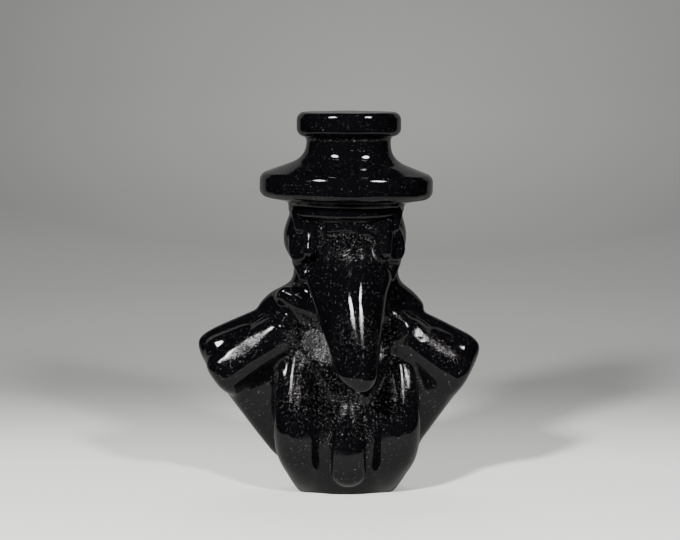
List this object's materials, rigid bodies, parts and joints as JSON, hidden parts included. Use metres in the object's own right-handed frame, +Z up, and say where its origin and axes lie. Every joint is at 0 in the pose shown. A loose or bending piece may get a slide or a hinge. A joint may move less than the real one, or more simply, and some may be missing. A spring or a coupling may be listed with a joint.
{
  "type": "carved plague doctor bust",
  "caption": "Carved bust of a plague doctor in polished black volcanic glass: beaked mask, goggles, brimmed hat and collared coat on a small flat foot.",
  "frame": {"origin": "centre of the flat base the bust rests on", "axes": "+Z up along the figure's axis, -Y the way the beak points, +X the viewer's right when facing it"},
  "size_m": [0.0753, 0.059, 0.1],
  "materials": {
    "obsidian": "polished"
  },
  "bodies": {
    "root": {"coat": "obsidian", "arm_left": "obsidian", "arm_right": "obsidian", "mantle": "obsidian", "lapel_left": "obsidian", "lapel_right": "obsidian", "coat_fold_left": "obsidian", "coat_fold_right": "obsidian", "neck_tie": "obsidian", "hood": "obsidian", "beaked_mask": "obsidian", "goggle_left": "obsidian", "goggle_right": "obsidian", "hat_band": "obsidian", "hat_brim": "obsidian", "hat_crown": "obsidian"}
  },
  "joints": []
}
